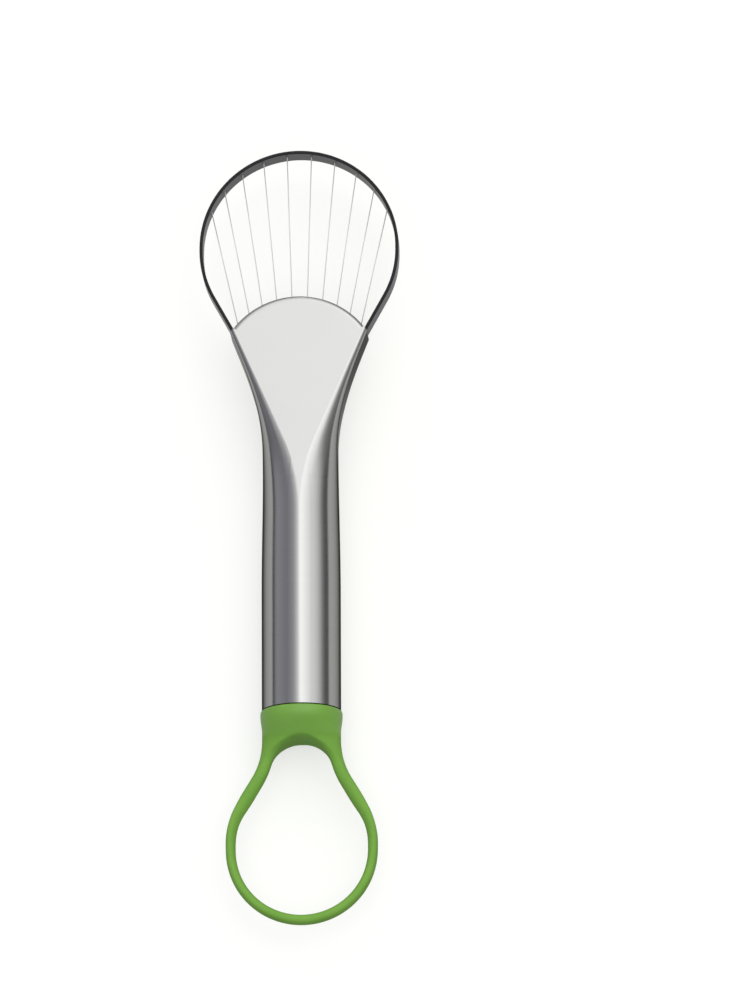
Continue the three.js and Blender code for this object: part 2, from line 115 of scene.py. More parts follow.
def slit_edge(y):
    """Level of the slit's edge behind the shovel, from the tube's back line to the wall's depth."""
    low, high = 0.0, 1.0
    for _ in range(40):
        t = (low + high) / 2
        start_pull, end_pull = 3 * t * (1 - t) ** 2, 3 * t * t * (1 - t)
        along = start_pull * SLIT_REACH + end_pull * SLIT_FULLNESS * SLIT_SWEEP + t ** 3 * SLIT_SWEEP
        low, high = (t, high) if along < y - SLIT_START else (low, t)
    first = mix(-TUBE_RADIUS, WALL_BACK, SLIT_FULLNESS)
    return (1 - t) ** 3 * -TUBE_RADIUS + start_pull * first + (end_pull + t ** 3) * WALL_BACK


def across_front(y, part, share):
    """A point on the plate or on the bend beside it, seen along the handle."""
    flat = plate_half(y)
    bend = half_width(y) - flat
    border = max(flat, 3.5 - 0.5 * flat)
    run = share * border if part == "plate" else mix(border, flat + bend * math.pi / 2, share)
    if run < flat:
        return run, TUBE_RADIUS
    turn = (run - flat) / bend
    return flat + bend * math.sin(turn), TUBE_RADIUS - bend + bend * math.cos(turn)


def across_side(y, share):
    """A point on the side wall or on the tube's round back, down to the slit."""
    width = half_width(y)
    level = TUBE_RADIUS - (width - plate_half(y))
    round_back = min(width, TUBE_RADIUS)
    drop = level + TUBE_RADIUS - round_back
    if y <= SLIT_START:
        length = drop + round_back * math.pi / 2
    else:
        sunk = -slit_edge(y) - (TUBE_RADIUS - round_back)
        length = drop + round_back * math.asin(min(sunk / round_back, 1))
        if sunk < 0:
            length = level - slit_edge(y)
    run = share * length
    if run < drop:
        return width, level - run
    turn = (run - drop) / round_back
    x = width - round_back + round_back * math.cos(turn)
    return x, round_back - TUBE_RADIUS - round_back * math.sin(turn)


# Columns of the sheet's right half: the plate with a block at each wire, the bend, and the wall
plate_turns = [0.0]
for place in range(WIRE_COUNT // 2):
    hole_turn = (place + 0.5) * LIP_PITCH
    block = HOLE_BLOCK / PLATE_RADIUS
    gap_start = plate_turns[-1]
    plate_turns += [mix(gap_start, hole_turn - block, step / 3) for step in (1, 2, 3)]
    plate_turns.append(hole_turn + block)
plate_turns.append(LIP_HALF_ANGLE)
plate_columns = [math.sin(turn) / math.sin(LIP_HALF_ANGLE) * 0.975 for turn in plate_turns]
lip_columns = len(plate_columns) - 1
plate_columns += [0.988, 0.996, 1.0]
columns = [("plate", share) for share in plate_columns]
columns += [("bend", step / 18) for step in range(1, 19)]
columns += [("side", step / 20) for step in range(1, 21)]

rows = [mix(TUBE_FOOT, WAIST, step / 8) for step in range(8)]
rows += [mix(WAIST, SLIT_START, step / 24) for step in range(24)]
rows += [mix(SLIT_START, NECK, (step / 16) ** 2) for step in range(16)]
rows += [mix(NECK, CORNER, step / 48) for step in range(49)]
edge_turns = [math.radians(15 * step) for step in range(1, 7)]
lip_levels = [WIRE_LEVEL + 3.4, WIRE_LEVEL + HOLE_BLOCK, WIRE_LEVEL - HOLE_BLOCK, LIP_BOTTOM]
plate_end_row = len(rows) - 1
bulge_start = NECK + 6


def sheet_point(row, column):
    part, share = columns[abs(column)]
    over_lip = part == "plate" and abs(column) <= lip_columns
    end_radius = PLATE_RADIUS - PLATE_EDGE if over_lip else PLATE_RADIUS
    row_y = rows[min(row, plate_end_row)]
    reached = max(row_y - bulge_start, 0) / (CORNER - bulge_start)
    bulge = ease(row_y, bulge_start, CORNER) * 0.5 + reached * 0.5
    y = row_y
    for _ in range(14):
        x, z = across_side(y, share) if part == "side" else across_front(y, part, share)
        rise = PLATE_CENTRE + math.sqrt(max(end_radius ** 2 - x * x, 0)) - CORNER
        y = row_y + bulge * max(rise, 0)
    beyond = row - plate_end_row
    if beyond > 0:
        turn = math.asin(x / end_radius)
        edge = edge_turns[min(beyond, len(edge_turns)) - 1]
        radius = end_radius + PLATE_EDGE * math.sin(edge)
        z = TUBE_RADIUS - PLATE_EDGE + PLATE_EDGE * math.cos(edge)
        if beyond > len(edge_turns):
            z = lip_levels[beyond - len(edge_turns) - 1]
        x, y = radius * math.sin(turn), PLATE_CENTRE + radius * math.cos(turn)
    return Vector((math.copysign(x, column) if column else 0.0, y, z))


def drill(bm, face, radius):
    """Turns a four-sided face into an eight-sided hole with a round rim."""
    middle = face.calc_center_median()
    bmesh.ops.subdivide_edges(bm, edges=list(face.edges), cuts=1)
    bmesh.ops.inset_region(bm, faces=[face], thickness=radius / 4)
    for vert in face.verts:
        vert.co = middle + (vert.co - middle).normalized() * radius
    bmesh.ops.delete(bm, geom=[face], context="FACES")


def finish_piece(name, bm, material, slot, *nodes):
    """Places a finished mesh and lets it stand for its CAD nodes."""
    bmesh.ops.transform(bm, matrix=PLACE, verts=bm.verts)
    for face in bm.faces:
        face.smooth = True
    mesh = bpy.data.meshes.new(name)
    bm.to_mesh(mesh)
    bm.free()
    mesh.materials.append(material)
    piece = bpy.data.objects.new(name, mesh)
    bpy.context.scene.collection.objects.link(piece)
    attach(piece, "root")
    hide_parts(*nodes)
    return piece


half = len(columns) - 1
last_row = plate_end_row + len(edge_turns) + len(lip_levels)
bm = bmesh.new()
bmesh.ops.create_grid(bm, x_segments=2 * half, y_segments=last_row, size=1)
spot = {}
for vert in bm.verts:
    column = round(vert.co.x * half)
    row = round((vert.co.y + 1) / 2 * last_row)
    spot[vert] = (row, column)
beside_lip = []
holes = []
hole_row = last_row - 2
hole_columns = [4 * place + 3 for place in range(WIRE_COUNT // 2)]
for face in bm.faces:
    corner_rows = [spot[vert][0] for vert in face.verts]
    corner_columns = [abs(spot[vert][1]) for vert in face.verts]
    if min(corner_rows) >= plate_end_row and max(corner_columns) > lip_columns:
        beside_lip.append(face)
    at_wire = min(corner_columns) in hole_columns and max(corner_columns) <= lip_columns
    if min(corner_rows) == hole_row and at_wire:
        holes.append(face)
for vert, (row, column) in spot.items():
    vert.co = sheet_point(row, column)
for face in holes:
    drill(bm, face, HOLE_RADIUS)
bmesh.ops.delete(bm, geom=beside_lip, context="FACES")
bmesh.ops.remove_doubles(bm, verts=bm.verts, dist=0.0005)

brushing = bpy.data.node_groups.new("polishing lines", "ShaderNodeTree")
brushing.interface.new_socket("Vector", in_out="INPUT", socket_type="NodeSocketVector")
brushing.interface.new_socket("Colour", in_out="INPUT", socket_type="NodeSocketColor")
brushing.interface.new_socket("Roughness", in_out="INPUT", socket_type="NodeSocketFloat")
brushing.interface.new_socket("Spread", in_out="INPUT", socket_type="NodeSocketFloat")
brushing.interface.new_socket("Colour", in_out="OUTPUT", socket_type="NodeSocketColor")
brushing.interface.new_socket("Roughness", in_out="OUTPUT", socket_type="NodeSocketFloat")
brushing.interface.new_socket("Height", in_out="OUTPUT", socket_type="NodeSocketFloat")
nodes, links = brushing.nodes, brushing.links
given = nodes.new("NodeGroupInput")
result = nodes.new("NodeGroupOutput")
lines = nodes.new("ShaderNodeTexNoise")
lines.inputs["Scale"].default_value = 1.0
lines.inputs["Detail"].default_value = 3.0
links.new(given.outputs["Vector"], lines.inputs["Vector"])
smudges = nodes.new("ShaderNodeTexNoise")
smudges.inputs["Scale"].default_value = 45.0
smudges.inputs["Detail"].default_value = 2.0
place_on = nodes.new("ShaderNodeTexCoord")
links.new(place_on.outputs["Object"], smudges.inputs["Vector"])
around_zero = nodes.new("ShaderNodeMath")
around_zero.operation = "ADD"
links.new(lines.outputs["Fac"], around_zero.inputs[0])
links.new(smudges.outputs["Fac"], around_zero.inputs[1])
centred = nodes.new("ShaderNodeMath")
centred.operation = "SUBTRACT"
centred.inputs[1].default_value = 1.0
links.new(around_zero.outputs[0], centred.inputs[0])
rough = nodes.new("ShaderNodeMath")
rough.operation = "MULTIPLY_ADD"
links.new(centred.outputs[0], rough.inputs[0])
links.new(given.outputs["Spread"], rough.inputs[1])
links.new(given.outputs["Roughness"], rough.inputs[2])
links.new(rough.outputs[0], result.inputs["Roughness"])
shade = nodes.new("ShaderNodeMapRange")
shade.inputs["From Min"].default_value = 0.3
shade.inputs["From Max"].default_value = 0.7
shade.inputs["To Min"].default_value = 0.97
shade.inputs["To Max"].default_value = 1.0
links.new(lines.outputs["Fac"], shade.inputs["Value"])
tint = nodes.new("ShaderNodeVectorMath")
tint.operation = "SCALE"
links.new(given.outputs["Colour"], tint.inputs[0])
links.new(shade.outputs["Result"], tint.inputs["Scale"])
links.new(tint.outputs["Vector"], result.inputs["Colour"])
links.new(lines.outputs["Fac"], result.inputs["Height"])


def steel(name, colour, rim, roughness, spread, stretch, bump):
    """A steel with fine polishing lines; stretch gives the lines to a millimetre along x, y and z."""
    material = bpy.data.materials.new(name)
    material.use_nodes = True
    nodes, links = material.node_tree.nodes, material.node_tree.links
    shader = nodes["Principled BSDF"]
    shader.inputs["Metallic"].default_value = 1.0
    shader.inputs["Specular Tint"].default_value = (rim, rim, rim, 1)
    where = nodes.new("ShaderNodeTexCoord")
    drawn_out = nodes.new("ShaderNodeMapping")
    drawn_out.inputs["Scale"].default_value = [per_mm / MM for per_mm in stretch]
    links.new(where.outputs["Object"], drawn_out.inputs["Vector"])
    polish = nodes.new("ShaderNodeGroup")
    polish.node_tree = brushing
    polish.inputs["Colour"].default_value = (*colour, 1)
    polish.inputs["Roughness"].default_value = roughness
    polish.inputs["Spread"].default_value = spread
    links.new(drawn_out.outputs["Vector"], polish.inputs["Vector"])
    links.new(polish.outputs["Colour"], shader.inputs["Base Color"])
    links.new(polish.outputs["Roughness"], shader.inputs["Roughness"])
    relief = nodes.new("ShaderNodeBump")
    relief.inputs["Strength"].default_value = bump
    relief.inputs["Distance"].default_value = 0.02 * MM
    links.new(polish.outputs["Height"], relief.inputs["Height"])
    links.new(relief.outputs["Normal"], shader.inputs["Normal"])
    return material


tube_steel = steel("satin tube steel", (0.307, 0.307, 0.302), rim=0.1, roughness=0.17, spread=0.05,
                   stretch=(0.05, 3.0, 0.05), bump=0.05)
handle = finish_piece("handle_sheet", bm, tube_steel, "tube_steel", "handle_tube")
sheet = handle.modifiers.new("sheet thickness", "SOLIDIFY")
sheet.thickness = TUBE_WALL * MM
sheet.offset = -1
sheet.use_even_offset = True
deburr = handle.modifiers.new("deburred edges", "BEVEL")
deburr.width = 0.12 * MM
deburr.segments = 2
deburr.limit_method = "ANGLE"
deburr.angle_limit = math.radians(45)
handle.modifiers.new("even shading", "WEIGHTED_NORMAL")


# Cutting hoop: one hardened steel strip, set on edge and bent into a round hoop with two straight legs. The
# legs lie inside the shovel's side walls, where they are spot-welded, and the strip is drilled for the wires.
STRIP_THICKNESS = 1.0
HOOP_RADIUS = 30.5
HOOP_LOWER = 213.0
HOOP_UPPER = 214.0
STRIP_BACK = 1.0
STRIP_FRONT = 9.0
LEG_LEAN = math.radians(29)
LAP_TOP = Vector((19.638, 185.517))
LAP_END = Vector((16.508, 177.517))
HOOP_PITCH = math.radians(14.3)
LEG_TOP = Vector((HOOP_RADIUS * math.cos(LEG_LEAN), HOOP_LOWER - HOOP_RADIUS * math.sin(LEG_LEAN)))

upper_run = HOOP_RADIUS * math.pi / 2
straight_run = upper_run + HOOP_UPPER - HOOP_LOWER
lower_run = straight_run + HOOP_RADIUS * LEG_LEAN
leg_run = lower_run + (LEG_TOP - LAP_TOP).length
lap_run = leg_run + (LAP_TOP - LAP_END).length


def hoop_line(run):
    """Point on the right half of the strip's middle line, at a distance from the top of the hoop."""
    if run < upper_run:
        turn = run / HOOP_RADIUS
        return Vector((HOOP_RADIUS * math.sin(turn), HOOP_UPPER + HOOP_RADIUS * math.cos(turn)))
    if run < straight_run:
        return Vector((HOOP_RADIUS, HOOP_UPPER - (run - upper_run)))
    if run < lower_run:
        turn = (run - straight_run) / HOOP_RADIUS
        return Vector((HOOP_RADIUS * math.cos(turn), HOOP_LOWER - HOOP_RADIUS * math.sin(turn)))
    if run < leg_run:
        return LEG_TOP.lerp(LAP_TOP, (run - lower_run) / (leg_run - lower_run))
    return LAP_TOP.lerp(LAP_END, (run - leg_run) / (lap_run - leg_run))


def strip_point(run, z):
    along = (hoop_line(abs(run) + 0.3) - hoop_line(max(abs(run) - 0.3, 0))).normalized()
    if run == 0:
        along = Vector((1, 0))
    middle = hoop_line(abs(run))
    outside = middle + Vector((-along.y, along.x)) * STRIP_THICKNESS / 2
    return Vector((math.copysign(outside.x, run), outside.y, z))


runs = [0.0]
for place in range(WIRE_COUNT // 2):
    hole_run = (place + 0.5) * HOOP_PITCH * HOOP_RADIUS
    gap_start = runs[-1]
    gap_steps = 2 if place == 0 else 4
    runs += [mix(gap_start, hole_run - HOLE_BLOCK, (step + 1) / gap_steps) for step in range(gap_steps)]
    runs.append(hole_run + HOLE_BLOCK)
strip_holes = [index for index, (start, end) in enumerate(zip(runs, runs[1:]))
               if abs(end - start - 2 * HOLE_BLOCK) < 1e-6]
for target, steps in ((upper_run, 10), (lower_run, 12), (leg_run, 8), (lap_run, 5)):
    gap_start = runs[-1]
    runs += [mix(gap_start, target, (step + 1) / steps) for step in range(steps)]
strip_levels = [STRIP_BACK, 2.4, WIRE_LEVEL - HOLE_BLOCK, WIRE_LEVEL + HOLE_BLOCK, 7.6, STRIP_FRONT]

half = len(runs) - 1
last_row = len(strip_levels) - 1
bm = bmesh.new()
bmesh.ops.create_grid(bm, x_segments=2 * half, y_segments=last_row, size=1)
holes = []
spot = {vert: (round((vert.co.y + 1) / 2 * last_row), round(vert.co.x * half)) for vert in bm.verts}
for face in bm.faces:
    corner_rows = [spot[vert][0] for vert in face.verts]
    corner_columns = [spot[vert][1] for vert in face.verts]
    nearest = min(abs(column) for column in corner_columns)
    if min(corner_rows) == 2 and nearest in strip_holes:
        holes.append(face)
for vert, (row, column) in spot.items():
    vert.co = strip_point(math.copysign(runs[abs(column)], column) if column else 0.0, strip_levels[row])
for face in holes:
    drill(bm, face, HOLE_RADIUS)
# Across the sheet, left to right with the front up, the faces would look inwards
bmesh.ops.reverse_faces(bm, faces=bm.faces)

strip_steel = steel("hardened strip steel", (0.13, 0.13, 0.134), rim=0.5, roughness=0.3, spread=0.08,
                    stretch=(0.3, 0.3, 4.0), bump=0.2)
# Painted shade: the strip's steel colour is darkened to near black along its front and back edges, standing
# in for the dark reflection on the rounded edges.
nodes, links = strip_steel.node_tree.nodes, strip_steel.node_tree.links
shader = nodes["Principled BSDF"]
where = nodes.new("ShaderNodeTexCoord")
axes = nodes.new("ShaderNodeSeparateXYZ")
links.new(where.outputs["Object"], axes.inputs["Vector"])
from_middle = nodes.new("ShaderNodeMath")
from_middle.operation = "SUBTRACT"
from_middle.inputs[1].default_value = (PLACE @ Vector((0, 0, (STRIP_BACK + STRIP_FRONT) / 2))).z
links.new(axes.outputs["Z"], from_middle.inputs[0])
off_middle = nodes.new("ShaderNodeMath")
off_middle.operation = "ABSOLUTE"
links.new(from_middle.outputs[0], off_middle.inputs[0])
painted_dark_edge_mask = nodes.new("ShaderNodeMapRange")
painted_dark_edge_mask.interpolation_type = "SMOOTHSTEP"
painted_dark_edge_mask.inputs["From Min"].default_value = ((STRIP_FRONT - STRIP_BACK) / 2 - 0.45) * MM
painted_dark_edge_mask.inputs["From Max"].default_value = ((STRIP_FRONT - STRIP_BACK) / 2 - 0.1) * MM
links.new(off_middle.outputs[0], painted_dark_edge_mask.inputs["Value"])
painted_edge_shade = nodes.new("ShaderNodeMix")
painted_edge_shade.data_type = "RGBA"
painted_edge_shade.inputs["B"].default_value = (0.015, 0.015, 0.016, 1)
links.new(painted_dark_edge_mask.outputs["Result"], painted_edge_shade.inputs["Factor"])
links.new(shader.inputs["Base Color"].links[0].from_socket, painted_edge_shade.inputs["A"])
links.new(painted_edge_shade.outputs["Result"], shader.inputs["Base Color"])
hoop = finish_piece("hoop_strip", bm, strip_steel, "strip_steel", "cutting_hoop")
sheet = hoop.modifiers.new("strip thickness", "SOLIDIFY")
sheet.thickness = STRIP_THICKNESS * MM
sheet.offset = -1
sheet.use_even_offset = True
deburr = hoop.modifiers.new("rolled edges", "BEVEL")
deburr.width = 0.3 * MM
deburr.segments = 3
deburr.limit_method = "ANGLE"
deburr.angle_limit = math.radians(45)
hoop.modifiers.new("even shading", "WEIGHTED_NORMAL")


# Cutting wires: straight drawn steel wire, stretched between the lip's holes and the hoop's. Each end is
# fused into a small bead that sits in its hole.
WIRE_RADIUS = 0.16
BEAD_RADIUS = 0.42

wire_steel = steel("drawn wire steel", (0.6, 0.6, 0.605), rim=1.0, roughness=0.3, spread=0.06,
                   stretch=(2.0, 0.1, 2.0), bump=0.1)
for number in range(WIRE_COUNT):
    place = number - (WIRE_COUNT - 1) / 2
    foot_turn = place * LIP_PITCH
    head_turn = place * HOOP_PITCH
    foot_radius = PLATE_RADIUS - TUBE_WALL / 2
    foot_y = PLATE_CENTRE + foot_radius * math.cos(foot_turn)
    head_y = HOOP_UPPER + HOOP_RADIUS * math.cos(head_turn)
    foot = Vector((foot_radius * math.sin(foot_turn), foot_y, WIRE_LEVEL))
    head = Vector((HOOP_RADIUS * math.sin(head_turn), head_y, WIRE_LEVEL))
    length = (head - foot).length
    neck = math.asin(WIRE_RADIUS / BEAD_RADIUS)
    bm = bmesh.new()
    turns = [mix(0, math.pi - neck, step / 8) for step in range(9)]
    bead = [(BEAD_RADIUS * math.sin(turn), -BEAD_RADIUS * math.cos(turn)) for turn in turns]
    outline = bead + [(radius, length - along) for radius, along in reversed(bead)]
    verts = [bm.verts.new((radius, 0, along)) for radius, along in outline]
    for low, high in zip(verts, verts[1:]):
        bm.edges.new((low, high))
    bmesh.ops.spin(bm, geom=bm.verts[:] + bm.edges[:], cent=(0, 0, 0), axis=(0, 0, 1), angle=2 * math.pi,
                   steps=16, use_merge=True)
    bmesh.ops.remove_doubles(bm, verts=bm.verts, dist=0.0005)
    bmesh.ops.recalc_face_normals(bm, faces=bm.faces)
    lean = (head - foot).to_track_quat("Z", "Y").to_matrix().to_4x4()
    bmesh.ops.transform(bm, matrix=Matrix.Translation(foot) @ lean, verts=bm.verts)
    finish_piece(f"cutting_wire_{number + 1:02d}", bm, wire_steel, "wire_steel", f"wire_{number + 1:02d}")


# Hanging ring: one green plastic moulding. A round loop runs up two legs into an arch and a collar, and a
# ribbed hollow spigot above the collar is pressed into the tube.
LOOP_RADIUS = 21.95
LOOP_THICKNESS = 3.1
LOOP_DEPTH = 5.0
LOOP_SQUARENESS = 0.9
LOOP_CENTRE = 23.5
LOOP_SHOULDER = 25.1
LEG_ANGLE = math.radians(30)
LEG_THICKNESS = 4.0
LEG_BEND = 26.5
LEG_SKEW = 0.9
ARCH_HEIGHT = 7.5
ARCH_OVERLAP = 0.2
ARCH_EDGE = 2.0
ARCH_EDGE_RISE = 0.4
ARCH_EDGE_SHARPNESS = 6
COLLAR_WAIST = 12.25
COLLAR_RIM = 12.75
COLLAR_FLARE = 5
COLLAR_CHAMFER = 0.3
COLLAR_FOOT = 58.347
COLLAR_TOP = 67.347
LEG_X = COLLAR_WAIST - LEG_THICKNESS / 2
LEG_FOOT = Vector((LOOP_RADIUS * math.cos(LEG_ANGLE), LOOP_SHOULDER + LOOP_RADIUS * math.sin(LEG_ANGLE)))
LEG_HEAD = Vector((LEG_X + LEG_BEND * (1 - math.cos(LEG_ANGLE)),
                   COLLAR_FOOT - LEG_BEND * math.sin(LEG_ANGLE)))
SCOOP_TOP = COLLAR_TOP - 1.6
SCOOP_FOOT = SCOOP_TOP - 15.25
SPIGOT_RADIUS = 10.9
SPIGOT_WALL = 1.6
SPIGOT_TOP = COLLAR_TOP + 15
SPIGOT_LEAD_IN = 0.8
SPIGOT_CORE = COLLAR_TOP - 5
BORE_RADIUS = SPIGOT_RADIUS - SPIGOT_WALL
RIB_COUNT = 8
RIB_SIZE = (1.0, 14.2, 1.2)

bend_run = LEG_BEND * LEG_ANGLE
straight_leg = bend_run + (LEG_HEAD - LEG_FOOT).length
shoulder_run = straight_leg + LOOP_RADIUS * LEG_ANGLE
side_run = shoulder_run + LOOP_SHOULDER - LOOP_CENTRE
half_ring_run = side_run + LOOP_RADIUS * math.pi / 2


def ring_line(run):
    """Point and direction on the right half of the ring's middle line, from the collar down to the bottom."""
    if run < 0:
        return Vector((LEG_X, COLLAR_FOOT - run)), Vector((0, -1))
    if run < bend_run:
        turn = run / LEG_BEND
        point = (LEG_X + LEG_BEND * (1 - math.cos(turn)), COLLAR_FOOT - LEG_BEND * math.sin(turn))
        return Vector(point), Vector((math.sin(turn), -math.cos(turn)))
    if run < straight_leg:
        along = (LEG_FOOT - LEG_HEAD).normalized()
        return LEG_HEAD + along * (run - bend_run), along
    if run < shoulder_run:
        turn = LEG_ANGLE - (run - straight_leg) / LOOP_RADIUS
        centre = LOOP_SHOULDER
    elif run < side_run:
        return Vector((LOOP_RADIUS, LOOP_SHOULDER - (run - shoulder_run))), Vector((0, -1))
    else:
        turn = -(run - side_run) / LOOP_RADIUS
        centre = LOOP_CENTRE
    point = Vector((LOOP_RADIUS * math.cos(turn), centre + LOOP_RADIUS * math.sin(turn)))
    return point, Vector((math.sin(turn), -math.cos(turn)))


def half_depth(y):
    """Half of the moulding's depth: the round collar is scooped down, front and back, to the flat loop."""
    return mix(LOOP_DEPTH / 2, COLLAR_WAIST, ease(y, SCOOP_FOOT, SCOOP_TOP))


def ring_section(y, turn):
    """Distance outwards and to the front round the ring: the collar's half at the arch, a bar below."""
    rise = max(y - COLLAR_FOOT + ARCH_HEIGHT, 0)
    opening = math.sqrt(max(1 - (rise / ARCH_HEIGHT) ** 2, 0))
    edge_opening = math.sqrt(max(1 - (rise / (ARCH_HEIGHT + ARCH_EDGE_RISE)) ** 2, 0))
    thickness = mix(LOOP_THICKNESS, LEG_THICKNESS, ease(y, LEG_FOOT.y - 5, LEG_FOOT.y + 5))
    reach = LEG_X - thickness / 2
    inner = mix(-ARCH_OVERLAP, reach, opening)
    edge = mix(-ARCH_OVERLAP, reach + ARCH_EDGE, edge_opening) - inner
    sweep = math.acos((inner + edge) / COLLAR_WAIST)
    depth = half_depth(y) * mix(1, 1 / math.sin(sweep), opening)
    slim = 1 - ease(y, LEG_FOOT.y, COLLAR_FOOT)
    quarter = math.asin(math.sin(turn)) / (math.pi / 2)
    if math.cos(turn) >= -1e-9:
        out, front = COLLAR_WAIST * math.cos(quarter * sweep), depth * math.sin(quarter * sweep)
    else:
        out = inner + edge * math.sin(turn) ** ARCH_EDGE_SHARPNESS
        front = depth * math.sin(sweep) * math.sin(turn)
    bar_out = math.copysign(abs(math.cos(turn)) ** LOOP_SQUARENESS, math.cos(turn)) * thickness / 2
    bar_front = math.copysign(abs(math.sin(turn)) ** LOOP_SQUARENESS, math.sin(turn)) * LOOP_DEPTH / 2
    bar_out += LEG_SKEW * abs(bar_front) / (LOOP_DEPTH / 2) * ease(y, LOOP_CENTRE - 6, LEG_FOOT.y)
    return mix(out - LEG_X, bar_out, slim), mix(front, bar_front, slim)


RING_STEPS = 200
CROWN_STEPS = 24
RING_SIDES = 72
bm = bmesh.new()
bmesh.ops.create_grid(bm, x_segments=RING_SIDES, y_segments=2 * RING_STEPS, size=1)
for vert in bm.verts:
    turn = (vert.co.x + 1) * math.pi
    step = round((1 - abs(vert.co.y)) * RING_STEPS)
    run = (step / CROWN_STEPS - 1) * (ARCH_EDGE + 1)
    if step > CROWN_STEPS:
        run = ((step - CROWN_STEPS) / (RING_STEPS - CROWN_STEPS)) ** 1.6 * half_ring_run
    point, along = ring_line(run)
    out, front = ring_section(point.y, turn)
    vert.co = (math.copysign(point.x - out * along.y, vert.co.y), point.y + out * along.x, front)
bmesh.ops.remove_doubles(bm, verts=bm.verts, dist=0.0005)
bmesh.ops.holes_fill(bm, edges=[edge for edge in bm.edges if edge.is_boundary], sides=0)

collar_outline = [(0, COLLAR_FOOT)]
for step in range(6):
    turn = math.radians(15 * step)
    collar_outline.append((COLLAR_WAIST - ARCH_EDGE * (1 - math.sin(turn)),
                           COLLAR_FOOT + ARCH_EDGE * (1 - math.cos(turn))))
for step in range(17):
    y = mix(COLLAR_FOOT + ARCH_EDGE, SCOOP_TOP, step / 16)
    collar_outline.append((mix(COLLAR_WAIST, COLLAR_RIM, ease(y, SCOOP_TOP - COLLAR_FLARE, SCOOP_TOP)), y))
collar_outline += [
    (COLLAR_RIM, COLLAR_TOP - COLLAR_CHAMFER), (COLLAR_RIM - COLLAR_CHAMFER, COLLAR_TOP),
    (SPIGOT_RADIUS, COLLAR_TOP), (SPIGOT_RADIUS, SPIGOT_TOP - SPIGOT_LEAD_IN),
    (SPIGOT_RADIUS - SPIGOT_LEAD_IN, SPIGOT_TOP), (BORE_RADIUS, SPIGOT_TOP),
    (BORE_RADIUS, SPIGOT_CORE), (0, SPIGOT_CORE),
]
turned = bmesh.new()
verts = [turned.verts.new((radius, y, 0)) for radius, y in collar_outline]
for low, high in zip(verts, verts[1:]):
    turned.edges.new((low, high))
bmesh.ops.spin(turned, geom=turned.verts[:] + turned.edges[:], cent=(0, 0, 0), axis=(0, 1, 0),
               angle=2 * math.pi, steps=96, use_merge=True)
bmesh.ops.remove_doubles(turned, verts=turned.verts, dist=0.0005)
for vert in turned.verts:
    vert.co.z *= half_depth(vert.co.y) / COLLAR_WAIST
for rib in range(RIB_COUNT):
    around = Matrix.Rotation(rib * 2 * math.pi / RIB_COUNT, 4, "Y")
    on_spigot = Matrix.Translation((SPIGOT_RADIUS, COLLAR_TOP + RIB_SIZE[1] / 2, 0))
    bmesh.ops.create_cube(turned, size=1, matrix=around @ on_spigot @ Matrix.Diagonal((*RIB_SIZE, 1)))
moulding = bpy.data.meshes.new("collar")
turned.to_mesh(moulding)
turned.free()
bm.from_mesh(moulding)
bpy.data.meshes.remove(moulding)
bmesh.ops.recalc_face_normals(bm, faces=bm.faces)

green_plastic = bpy.data.materials.new("green moulded plastic")
green_plastic.use_nodes = True
nodes, links = green_plastic.node_tree.nodes, green_plastic.node_tree.links
shader = nodes["Principled BSDF"]
shader.inputs["Specular IOR Level"].default_value = 0.5
where = nodes.new("ShaderNodeTexCoord")
height = nodes.new("ShaderNodeSeparateXYZ")
links.new(where.outputs["Object"], height.inputs["Vector"])
# The collar is polished to a satin, and the ring below it is left matt
satin = nodes.new("ShaderNodeMapRange")
satin.interpolation_type = "SMOOTHSTEP"
satin.inputs["From Min"].default_value = (PLACE @ Vector((0, COLLAR_FOOT, 0))).y
satin.inputs["From Max"].default_value = (PLACE @ Vector((0, COLLAR_FOOT + ARCH_EDGE, 0))).y
satin.inputs["To Min"].default_value = 0.8
satin.inputs["To Max"].default_value = 0.5
links.new(height.outputs["Y"], satin.inputs["Value"])
links.new(satin.outputs["Result"], shader.inputs["Roughness"])
cloud = nodes.new("ShaderNodeTexNoise")
cloud.inputs["Scale"].default_value = 120.0
cloud.inputs["Detail"].default_value = 4.0
links.new(where.outputs["Object"], cloud.inputs["Vector"])
pigment = nodes.new("ShaderNodeValToRGB")
pigment.color_ramp.elements[0].position = 0.3
pigment.color_ramp.elements[0].color = (0.132, 0.308, 0.033, 1)
pigment.color_ramp.elements[1].position = 0.7
pigment.color_ramp.elements[1].color = (0.155, 0.341, 0.042, 1)
links.new(cloud.outputs["Fac"], pigment.inputs["Fac"])
links.new(pigment.outputs["Color"], shader.inputs["Base Color"])
grain = nodes.new("ShaderNodeTexNoise")
grain.inputs["Scale"].default_value = 5000.0
grain.inputs["Detail"].default_value = 2.0
links.new(where.outputs["Object"], grain.inputs["Vector"])
relief = nodes.new("ShaderNodeBump")
relief.inputs["Strength"].default_value = 0.12
relief.inputs["Distance"].default_value = 0.03 * MM
links.new(grain.outputs["Fac"], relief.inputs["Height"])
links.new(relief.outputs["Normal"], shader.inputs["Normal"])

ring = finish_piece("hanging_ring", bm, green_plastic, "green_plastic", "end_ring")
skin = ring.modifiers.new("one moulded skin", "REMESH")
skin.mode = "VOXEL"
skin.voxel_size = 0.3 * MM
skin.use_smooth_shade = True
soften = ring.modifiers.new("soft moulded edges", "SMOOTH")
soften.factor = 0.5
soften.iterations = 8


